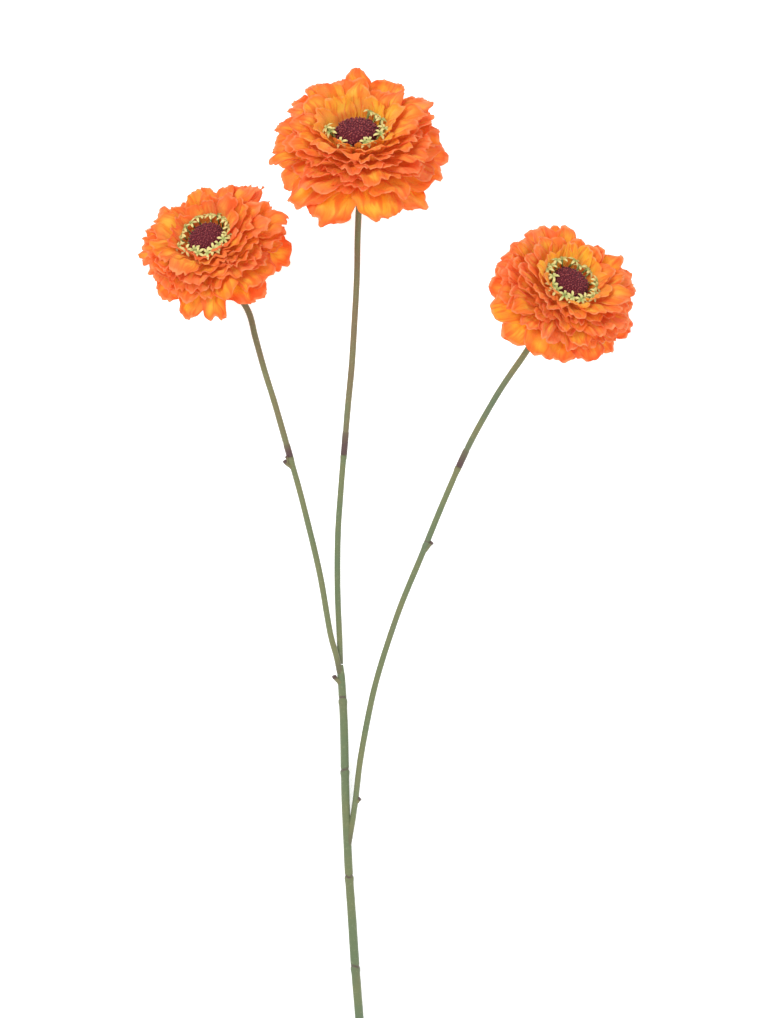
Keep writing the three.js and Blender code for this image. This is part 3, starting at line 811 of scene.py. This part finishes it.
def petal_grid(tables, level, whorl, petal, style, draw):
    """The middle surface of one petal in its head's frame, with its spots and rim."""
    side_share = 0.92
    across = np.sin(np.linspace(-1, 1, COLUMNS) * math.pi / 2 * side_share)
    across /= across[-1]
    s, q = np.meshgrid(np.linspace(0, 1, ROWS) ** 0.8, across, indexing="ij")
    middle = petal["middle"]
    phase = draw.uniform(0, math.tau, 8)
    seed = draw.uniform()

    tip_radius, tip_height = midrib(tables, level, 1.0, middle)
    length = math.hypot(tip_radius - HUB_RIM_RADIUS, tip_height - HUB_TOP + HUB_PITCH * level)
    half_width = petal["width"] * petal["room"] * whorl["fill"] * style["fill"] / 2
    run = q * half_width
    scallops = 1.4 * np.sin(0.8 * run + phase[6]) + 0.9 * np.sin(1.5 * run + phase[0])
    scallops += 1.3 * np.sin(3.1 * run + phase[1])
    tip = s**5
    cut_back = 1 - (1 - np.abs(0.99 * q) ** TIP_FLATNESS) ** (1 / TIP_FLATNESS)
    corner = whorl["round"] * style["round"] * cut_back * s**3
    notch = 0.015 * bell(q, 0.3 * math.sin(phase[2]), 0.17) * tip
    slant = 0.035 * math.sin(phase[6]) * q * tip
    reach = petal["reach"] * np.maximum(s - CLAW_SHARE, 0) / (1 - CLAW_SHARE)
    reach *= 1 - corner - notch - slant
    reach += whorl["teeth"] * style["teeth"] * scallops * tip / length

    spread = 0.2 + 0.8 * smoothstep(-0.05, 0.62, s) - 0.05 * smoothstep(0.8, 1.05, s)
    side_wave = 0.02 * np.sin(s * 21 + phase[3] + 3 * (q > 0)) * np.abs(q) ** 4 * s
    bow = 0.1 * math.sin(phase[7]) * s**2
    x = half_width * (q * spread + side_wave * np.sign(q) + bow)

    wide_radius, _ = midrib(tables, level, WIDE_SHARE, middle)
    base = np.maximum(reach, 0)
    radius, _ = midrib(tables, level, base, middle)
    angle = middle + x / np.maximum(radius, wide_radius * 0.45)

    inner_radius, inner_height = midrib(tables, level - 0.5, base, angle)
    outer_radius, outer_height = midrib(tables, level + 0.5, base, angle)
    spacing = np.hypot(outer_radius - inner_radius, outer_height - inner_height)

    ruffle = whorl["ruffle"] * style["ruffle"]
    rim_wave = np.sin(q * (4 + 2.5 * seed) + phase[5]) * s**2.5 * (0.3 + 0.7 * np.abs(q))
    tip_wave = np.sin(q * (8 + 4 * seed) + s * 3 + phase[0]) * s**5
    pleats = np.sin(q * 12 + phase[1]) + 0.8 * np.sin(q * 7 + 2 * s + phase[3])
    rise = (
        whorl["twist"] * math.sin(phase[4] + 2) * q * s**2 * 1.4
        + whorl["cup"] * q**2 * s
        - whorl["crease"] * bell(q, 0.15 * math.sin(phase[4]), 0.22) * s * (1 - s**6)
        + ruffle * (rim_wave + 0.35 * tip_wave)
        + 0.3 * pleats * s * (1 - 0.5 * s)
        + 1.5 * whorl["curl"] * s**9 * (1 + 0.6 * math.sin(phase[2]))
    )
    stray = SHINGLE * q - STAGGER * petal["turn"]
    stray -= LIFT_SHARE * np.tanh(petal["rise"] * s**2 / (LIFT_SHARE * spacing))
    stray -= BEND_SHARE * np.tanh(rise / (BEND_SHARE * spacing))
    final_radius, final_height = midrib(tables, level + stray, base, angle)

    claw = np.clip(s / CLAW_SHARE, 0, 1)
    claw_radius = HUB_HOLE_RADIUS + (HUB_RIM_RADIUS - HUB_HOLE_RADIUS) * claw
    final_radius = np.where(s < CLAW_SHARE, claw_radius, final_radius)
    points = around(final_radius, angle, final_height)
    spots = np.stack([s, q, np.full_like(s, seed)], axis=-1)
    return points, spots, np.maximum(np.abs(q), s)


def outline(head, level, angle, radius, height):
    """How far a petal reaches, by the direction in which its tip is seen from above."""
    if level < 2:
        return 1.0
    tilt = math.radians(head["tilt"])
    ahead = radius * math.cos(angle) * math.cos(tilt) + height * math.sin(tilt)
    direction = math.degrees(math.atan2(radius * math.sin(angle), ahead)) % 360
    directions = np.arange(0, 361, 30)
    size = np.interp(direction, directions, [*head["outline"], head["outline"][0]])
    return 1 + OUTLINE_PULL * (size - 1)


def whorl_petals(tables, head, level, whorl, draw):
    """Directions, rooms and sizes of one whorl's petals."""
    if level == len(WHORLS) - 1:
        middles = np.radians(sorted(head["skirt"]))
    else:
        count = math.floor(whorl["count"] * head["petals"]["more"] + 0.5)
        places = np.arange(count) + 0.14 * draw.normal(size=count)
        middles = level * GOLDEN_ANGLE + places * math.tau / count
        middles = np.sort(middles % (math.tau))
    ahead = np.roll(middles, -1)
    behind = np.roll(middles, 1)
    rooms = ((ahead - behind) % (math.tau)) / 2
    petals = []
    for index, (middle, room) in enumerate(zip(middles, rooms)):
        wide_radius, _ = midrib(tables, level, WIDE_SHARE, middle)
        tip = midrib(tables, level, 1.0, middle)
        petals.append(
            {
                "middle": middle,
                "room": room * wide_radius,
                "width": 1 + 0.07 * draw.normal(),
                "reach": (1 + REACH_SPREAD * draw.normal()) * outline(head, level, middle, *tip),
                "rise": whorl["lift"] * draw.uniform(-1, 1),
                "turn": 1 if index % 2 else -1,
            }
        )
    for number, direction, width, reach, rise in head["odd"]:
        if number == level + 1:
            aim = math.radians(direction)
            nearest = min(petals, key=lambda one: abs(math.remainder(one["middle"] - aim, math.tau)))
            nearest.update(middle=aim, width=width, reach=reach, rise=rise)
    return petals


def head_grids(head):
    """The petals of a head, whorl by whorl, settled on the ground together."""
    draw = np.random.default_rng(head["seed"])
    phases = draw.uniform(0, math.tau, 4)
    waves = crumple_waves(draw)
    tables = TABLES[head["open"]]
    whorls = []
    lowest = math.inf
    for level, traits in enumerate(WHORLS):
        whorl = dict(zip(WHORL_TRAITS, traits))
        grids = []
        for petal in whorl_petals(tables, head, level, whorl, draw):
            points, spots, rims = petal_grid(tables, level, whorl, petal, head["petals"], draw)
            points = crumple(head_warp(points, phases), waves, head["petals"]["ruffle"])
            points = placed(points, head)
            lowest = min(lowest, points[..., 2].min())
            grids.append((points, spots, rims))
        whorls.append(grids)
    rate = max(0, GROUND_GAP + PETAL_THICKNESS - lowest) / (SETTLE_FROM - lowest) ** 2
    for grids in whorls:
        for points, _, _ in grids:
            depth = np.maximum(0, SETTLE_FROM - points[..., 2])
            points[..., 2] += rate * depth**2
    return whorls


def head_petals(name, head):
    for level, grids in enumerate(head_grids(head)):
        bundle = Bundle()
        for points, spots, rims in grids:
            thickness = PETAL_THICKNESS * (1 - 0.6 * smoothstep(0.8, 1, rims))
            add_sheet(bundle, points, thickness, spots, rims)
        look, slot = WHORL_LOOKS[level]
        look = head["heart"] if look == "heart" else look
        material = PETAL_MATERIALS[look, head["petals"]["pale"]]
        bundle.piece(f"{name}_whorl_{level + 1}", f"{name}_petals_{level + 1}", slot, material)


# Colours from a petal's base to its tip, and the strength of its painted highlights, yellow patches amid
# its petals
PETAL_LOOKS = {
    "yellow": ([(0.12, OLIVE), (0.35, YELLOW), (0.75, YELLOW), (1, AMBER)], 0.9),
    "red": ([(0.12, OLIVE), (0.35, AMBER), (0.7, ORANGE), (1, DEEP_ORANGE)], 0.5),
    "second": ([(0.2, AMBER), (0.4, YELLOW), (0.74, AMBER), (0.92, ORANGE)], 0.9),
    "middle": ([(0.2, ORANGE), (0.45, AMBER), (0.68, AMBER), (0.84, ORANGE), (1, SALMON)], 0.85),
    "skirt": ([(0.3, ORANGE), (0.5, YELLOW), (0.72, AMBER), (0.88, ORANGE), (1, DEEP_ORANGE)], 1.0),
}
WHORL_LOOKS = [
    ("heart", "petal_inner"),
    ("second", "petal_inner"),
    *[("middle", "petal")] * 4,
    ("skirt", "petal_skirt"),
]
PETAL_MATERIALS = {
    (look, pale): petal_material(f"petal {look} {pale}", stops, glow, pale)
    for look, (stops, glow) in PETAL_LOOKS.items()
    for pale in {head["petals"]["pale"] for head in HEADS.values()}
}


# ---- discs, florets and calyces ----

DISC_PROFILE = [(8.1, -2.1), (8.5, -0.8), (8.2, 0.4), (7.2, 1.3), (5.4, 2), (3.2, 2.5), (1.2, 2.6)]
DISC_TOP = 2.6
DISC_SIDES = 40
TUFTS = 300
BUDS = 24
TUFT_SIDES, BUD_SIDES, TUBE_SIDES = 5, 6, 8
BUD_BASE = (9.0, -2.4)  # radius and height of a bud's foot
FLORET_BASE = (9.8, -2.3)  # the same for a floret
FLORET_HEIGHT = 4.8
# Sections of spikes from foot to tip: share of the length, radius, shade
# A tuft's shade grows from its foot to its tip: painted shade among the tufts, painted highlight on their
# tips
TUFT = [(0, 0.36, 0.1), (0.65, 0.38, 0.6), (1, 0.14, 1)]
BUD = [(0, 0.35, 0), (0.5, 0.42, 0.2), (0.85, 0.35, 0.34), (1, 0.12, 0.4)]
FLORET_TUBE = [(0, 0.4, 0), (0.5, 0.5, 0.175), (0.85, 0.68, 0.2975), (1, 0.8, 0.35)]
FLORET_LOBES = 5
LOBE_REACH = 2.4
LOBE_WIDTH = 0.98
LOBE_THICKNESS = 0.3


def dome(share):
    """Radius and height of the disc's surface: share 0 is its middle, 1 its side."""
    profile = np.array([(0, DISC_TOP), *DISC_PROFILE[::-1]])
    run = distances(profile)
    at = share * run[-1]
    return np.interp(at, run, profile[:, 0]), np.interp(at, run, profile[:, 1])


def leaning_frame(direction):
    """Two directions across the given one, with which they make a right-handed frame."""
    direction = direction / np.linalg.norm(direction)
    helper = (1, 0, 0) if abs(direction[0]) < 0.7 else (0, 1, 0)
    first = np.cross(helper, direction)
    first /= np.linalg.norm(first)
    return first, np.cross(direction, first), direction


def add_spike(bundle, head, foot, axes, sections, sides, length, width, seed):
    """A straight round spike, whose axes are two directions across it and the one along it."""
    first, second, ahead = axes
    shares, radii, shades = np.array(sections, dtype=float).T[..., None, None]
    turn = round_turn(sides)[None, :, None]
    spokes = np.cos(turn) * first + np.sin(turn) * second
    rings = foot + ahead * shares * length + radii * width * spokes
    spots = np.zeros(rings.shape)
    spots[..., :1] = shades
    spots[..., 2] = seed
    add_tube(bundle, placed(rings, head), spots, spots[..., 0])


def head_disc(name, head, draw):
    bundle = Bundle()
    rings = turned(DISC_PROFILE, DISC_SIDES)
    plain = np.zeros((*rings.shape[:2], 3))
    add_tube(bundle, placed(rings, head), plain, plain[..., 0])
    for index in range(TUFTS):
        share = math.sqrt((index + 0.5) / TUFTS) * 0.97
        radius, height = dome(share)
        outward = outward_at(index * GOLDEN_ANGLE + 0.1 * draw.normal())
        foot = radius * outward + (0, 0, height - 0.2)
        lean = outward * (0.15 + 1.1 * share**3) + 0.28 * draw.normal(size=3) + (0, 0, 0.9)
        length, width, seed = draw.uniform(0.6, 1.05), draw.uniform(0.8, 1.15), draw.uniform()
        add_spike(bundle, head, foot, leaning_frame(lean), TUFT, TUFT_SIDES, length, width, seed)
    bundle.piece(f"{name}_plush", f"{name}_disc", "disc", DISC_MATERIAL)


def add_floret(bundle, head, degrees, draw):
    """A green tube with five pointed lobes that curl back, leaning away from the disc."""
    outward = outward_at(math.radians(degrees + 2.5 * draw.normal()))
    lean = 0.4 + 0.1 * draw.normal()
    sideways = np.cross((0, 0, 1), outward)
    axis = np.array([0, 0, 1.0]) + lean * outward + 0.12 * draw.normal() * sideways
    axes = leaning_frame(axis)
    first, second, ahead = axes
    ring, size = head["floret_ring"], head["floret_size"]
    foot = FLORET_BASE[0] * ring * (1 + 0.05 * draw.normal()) * outward + (0, 0, FLORET_BASE[1])
    height = FLORET_HEIGHT * draw.uniform(0.85, 1.15)
    seed = draw.uniform()
    add_spike(bundle, head, foot, axes, FLORET_TUBE, TUBE_SIDES, height, 1, seed)
    s, q = np.meshgrid(np.linspace(0, 1, 7), np.linspace(-1, 1, 5), indexing="ij")
    roll = draw.uniform(0, math.tau)
    for lobe in range(FLORET_LOBES):
        way = roll + (lobe + 0.12 * draw.normal()) * math.tau / FLORET_LOBES
        out = math.cos(way) * first + math.sin(way) * second
        across = np.cross(ahead, out)
        reach = 0.35 + LOBE_REACH * size * draw.uniform(0.85, 1.15) * s
        width = LOBE_WIDTH * size / 2 * (0.55 + 0.9 * s) * (1 - s**3) ** 0.7 + 0.06
        bend = 0.45 * np.sin(s * 2.2) - 1.3 * s**2.3 * draw.uniform(0.6, 1.3) + 0.15 * q**2 * s
        points = (
            foot
            + ahead * (height - 0.1 + bend)[..., None]
            + out * reach[..., None]
            + across * (q * width)[..., None]
        )
        lobe_spots = np.stack([s, q, np.full_like(s, seed)], axis=-1)
        thickness = LOBE_THICKNESS * (1 - 0.5 * s)
        add_sheet(bundle, placed(points, head), thickness, lobe_spots, 0.35 + 0.65 * s)


def head_florets(name, head, draw):
    bundle = Bundle()
    for angle in round_turn(BUDS):
        outward = outward_at(angle)
        foot = BUD_BASE[0] * outward + (0, 0, BUD_BASE[1])
        axes = leaning_frame(0.3 * outward + (0, 0, 1) + 0.1 * draw.normal(size=3))
        length, seed = draw.uniform(1.6, 3.0), draw.uniform()
        add_spike(bundle, head, foot, axes, BUD, BUD_SIDES, length, 1, seed)
    for degrees in head["florets"]:
        add_floret(bundle, head, degrees, draw)
    bundle.piece(f"{name}_florets", f"{name}_floret_ring", "floret", FLORET_MATERIAL)


CUP_PROFILE = [(1.9, -24), (2.8, -22.6), (5.2, -20.2), (6.9, -17.7), (7.2, -15.9)]
CORE_PROFILE = [(6.4, -15.5), (5.0, -15.2), (5.0, -2.7)]
CUP_SIDES = 32
BRACT_THICKNESS = 0.22
# Rows of bracts from the cup's foot up: shares of the cup where they start and end, gap, number
BRACT_ROWS = [(0.16, 0.62, 0.62, 9), (0.36, 0.86, 0.42, 11), (0.56, 1.12, 0.22, 12)]


def cup(share):
    """Radius and height of the calyx cup's side: share 0 is its foot, 1 its mouth."""
    profile = np.array([*CUP_PROFILE, (8.6, -14.9)])
    run = distances(profile[:-1])
    run = np.append(run, run[-1] * 1.15)
    at = share * run[-2]
    return np.interp(at, run, profile[:, 0]), np.interp(at, run, profile[:, 1])


def head_calyx(name, head, draw):
    """A cup with a core through the petals, covered with rows of overlapping bracts."""
    bundle = Bundle()
    rings = turned([*CUP_PROFILE, *CORE_PROFILE], CUP_SIDES)
    plain = np.zeros((*rings.shape[:2], 3))
    add_tube(bundle, placed(rings, head), plain, plain[..., 0])
    s, q = np.meshgrid(np.linspace(0, 1, 9), np.linspace(-1, 1, 9), indexing="ij")
    for row, (low, high, gap, count) in enumerate(BRACT_ROWS):
        for index in range(count):
            middle = (index + 0.5 * (row % 2) + 0.08 * draw.normal()) * math.tau / count
            reach = high + 0.03 * draw.normal()
            tip = 1 - 0.3 * np.abs(q) ** 2.2 * s**2
            share = low + (reach - low) * s * tip
            radius, height = cup(share)
            half_angle = 1.2 * math.pi / count * (0.72 + 0.4 * np.sin(s * 2.4))
            angle = middle + q * half_angle
            stand = gap + 0.25 * s + 0.12 * np.sin(q * 3 + index) - 0.2 * q**2
            radius += stand * 0.8
            height -= stand * 0.5
            points = around(radius, angle, height)
            spots = np.stack([s, q, np.full_like(s, draw.uniform())], axis=-1)
            rims = np.maximum(np.abs(q), s)
            add_sheet(bundle, placed(points, head), BRACT_THICKNESS + 0 * s, spots, rims)
    bundle.piece(f"{name}_bracts", f"{name}_calyx", "calyx", CALYX_MATERIAL)


DISC_MATERIAL = disc_material()
FLORET_MATERIAL = floret_material()
CALYX_MATERIAL = calyx_material()
STEM_MATERIAL = stem_material()

HEART_SEED = 200  # of the draws for the first head's disc, florets and calyx
for order, (name, head) in enumerate(HEADS.items()):
    head_petals(name, head)
    draw = np.random.default_rng(HEART_SEED + order)
    head_disc(name, head, draw)
    head_florets(name, head, draw)
    head_calyx(name, head, draw)


# ---- stems ----

STEM_SIDES = 20
STEM_STEP = 0.7
MAIN_SEED = 300
BRANCH_SEED = 310
NODE_SWELL = 0.22  # a stem's node is a swelling with a groove above it
NODE_GROOVE = 0.3
BRANCH_LAP = 0.4  # a branch runs on past its joint inside the stalk's foot
STALK_LAP = 0.6  # a stalk starts before its joint
TONES = {"center": (0.15, 0.85), "left": (0.35, 0.75), "right": (0.3, 0.45)}  # branch and stalk


def seat_points(head):
    """Where a stalk ends under its head: the foot of its straight run, and its top."""
    matrix = head_matrix(head)
    end = CALYX_BOTTOM + 0.2 / head["scale"]
    return [tuple(matrix @ Vector((0, 0, end - SEAT_RUN))), tuple(matrix @ Vector((0, 0, end)))]


def add_stub(bundle, start, end, radius, draw):
    """A short torn-off side shoot with a dark end."""
    centers, distance = spline([start, tuple((np.array(start) + end) / 2), end], 0.3)
    share = distance / distance[-1]
    turn = round_turn(STEM_SIDES)[None, :]
    width = radius * (1 - 0.25 * share + 0.12 * bell(share, 0.9, 0.12))[:, None]
    width = width * (1 + 0.1 * np.sin(3 * turn + 5 * share[:, None] + draw.uniform(0, 6)))
    centers = centers + 0.15 * np.sin(6 * share + draw.uniform(0, 6))[:, None]
    dark = 0.15 + 0.75 * smoothstep(0.55, 1, share)[:, None]
    add_stem(bundle, centers, distance, width, 0.7, dark)


def main_stem():
    draw = np.random.default_rng(MAIN_SEED)
    centers, distance = spline(MAIN_PATH, STEM_STEP)
    run = distance[:, None]
    turn = round_turn(STEM_SIDES)[None, :]
    taper = MAIN_TAPER * run / distance[-1]
    radius = stem_radius(MAIN_RADIUS, distance, draw) - taper
    dark = np.zeros_like(radius)
    tone = 0.15 + 0.25 * np.sin(run / 21 + 1) * np.sin(run / 8.5)
    for index, node in enumerate(MAIN_NODES):
        strength = 1.5 if index == 0 else 1.0
        bend = node + 0.9 * np.abs(np.cos(turn + 0.8 * index))
        radius += NODE_SWELL * strength * bell(run, bend - 1.4, 1.3)
        radius -= NODE_GROOVE * strength * bell(run, bend, 0.45)
        dark += 0.75 * strength * bell(run, bend, 0.5) + 0.18 * strength * bell(run, node - 4, 5)
    radius -= 0.35 * smoothstep(distance[-1] - 5, distance[-1], run)
    radius[0] -= 0.12
    bundle = Bundle()
    add_stem(bundle, centers, distance, radius, tone, dark, cut_end=True)
    bundle.piece("main_stem_coat", "main_stem", "stem", STEM_MATERIAL)


def branch_and_stalk(name, head, order):
    draw = np.random.default_rng(BRANCH_SEED + order)
    centers, distance = spline([*BRANCH_PATHS[name], *seat_points(head)], STEM_STEP)
    joint = JOINTS[name]
    branch_tone, stalk_tone = TONES[name]
    turn = round_turn(STEM_SIDES)[None, :]

    lower = distance < joint + BRANCH_LAP
    run = distance[lower][:, None]
    radius = stem_radius(BRANCH_RADIUS, distance[lower], draw)
    radius += 0.2 * bell(run, joint - 0.9, 1.3)
    radius -= 0.12 * smoothstep(joint - 0.3, joint + BRANCH_LAP, run)
    tone = branch_tone + 0.2 * np.sin(run / 17 + order) * np.sin(run / 7)
    dark = 0.5 * bell(run, joint, 0.8) + 0.45 * bell(run, 2 * order, 6)
    if name == "right":
        bend = RIGHT_NODE + 0.7 * np.abs(np.cos(turn))
        radius += 0.16 * bell(run, bend - 1, 1.1) - 0.2 * bell(run, bend, 0.4)
        dark = dark + 0.6 * bell(run, bend, 0.5)
    bundle = Bundle()
    add_stem(bundle, centers[lower], distance[lower], radius, tone, dark)
    for start, end, width in STUBS[name]:
        add_stub(bundle, start, end, width, draw)
    bundle.piece(f"{name}_branch_coat", f"{name}_branch", "branch", STEM_MATERIAL)

    upper = distance > joint - STALK_LAP
    run = distance[upper][:, None]
    sleeve_end = joint + DARK_RUNS[name]
    radius = stem_radius(STALK_RADIUS, distance[upper], draw)
    sleeve = smoothstep(joint - 1, joint + 0.6, run) * smoothstep(sleeve_end + 0.3, sleeve_end - 0.3, run)
    radius += 0.1 * sleeve - 0.1 * bell(run, sleeve_end + 0.6, 0.5)
    radius += 0.6 * smoothstep(distance[-1] - 3, distance[-1], run)
    tone = stalk_tone + 0.25 * np.sin(run / 13 + order) * np.sin(run / 6)
    fade = smoothstep(sleeve_end + 14, joint + 2, run)
    dark = sleeve * (0.25 + 0.35 * smoothstep(sleeve_end, joint, run)) + 0.3 * fade
    bundle = Bundle()
    add_stem(bundle, centers[upper], distance[upper], radius, tone, dark)
    bundle.piece(f"{name}_stalk_coat", f"{name}_stalk", "stalk", STEM_MATERIAL)


# Torn-off side shoots, as their start, end and radius
STUBS = {
    "center": [],
    "left": [
        ((-19.4, -37, 4.9), (-22.6, -33.0, 6.4), 1.1),
        ((-39.9, 53.2, 7.4), (-43.2, 56.2, 8.2), 0.95),
        ((-41.4, 55, 7.7), (-42.4, 58.2, 8.6), 0.7),
    ],
    "right": [((-13.8, -86, 4.3), (-11.6, -84, 4.6), 1.0), ((15.2, 19, 6), (18.4, 22.6, 6.9), 0.95)],
}

main_stem()
for order, (name, head) in enumerate(HEADS.items()):
    branch_and_stalk(name, head, order)


# ---- floor, light and camera ----


def stage():
    mesh = bpy.data.meshes.new("floor")
    half = FLOOR_WIDTH / 2
    corners = [(-half, -half, 0), (half, -half, 0), (half, half, 0), (-half, half, 0)]
    mesh.from_pydata(corners, [], [(0, 1, 2, 3)])
    floor = add_object("floor", mesh)
    nodes = Nodes("floor")
    nodes.set(Base_Color=(0.93, 0.93, 0.93, 1), Roughness=0.9, Specular_IOR_Level=0.1)
    nodes.set(Emission_Color=(1, 1, 1, 1), Emission_Strength=FLOOR_GLOW)
    mesh.materials.append(nodes.material)


def area_light(name, energy, size, at):
    data = bpy.data.lights.new(name, "AREA")
    data.energy = energy
    data.size = size
    light = add_object(name, data)
    light.location = at
    light.rotation_euler = (LIGHTS_AIM - Vector(at)).to_track_quat("-Z", "Y").to_euler()


CAMERA_AT = (-1.75, 36.2, 1591)
FLOOR_WIDTH = 8.0  # this and the lights are in metres
LIGHTS_AIM = Vector((0, 0.1, 0))
FLOOR_GLOW = 0.4  # the floor is a sheet of milk glass with a light under it
stage()
area_light("key", 24, 1.0, (-0.9, 1.0, 1.6))
area_light("fill", 14, 1.4, (0.8, -0.9, 1.5))

world = bpy.data.worlds.new("studio")
world.use_nodes = True
background = world.node_tree.nodes["Background"].inputs
background["Color"].default_value = (1, 1, 1, 1)
background["Strength"].default_value = 0.85
bpy.context.scene.world = world

camera_data = bpy.data.cameras.new("camera")
camera_data.lens = 135
camera_data.sensor_width = 36
camera = add_object("camera", camera_data)
camera.location = Vector(CAMERA_AT) * MM
bpy.context.scene.camera = camera
bpy.context.scene.view_settings.view_transform = "Standard"
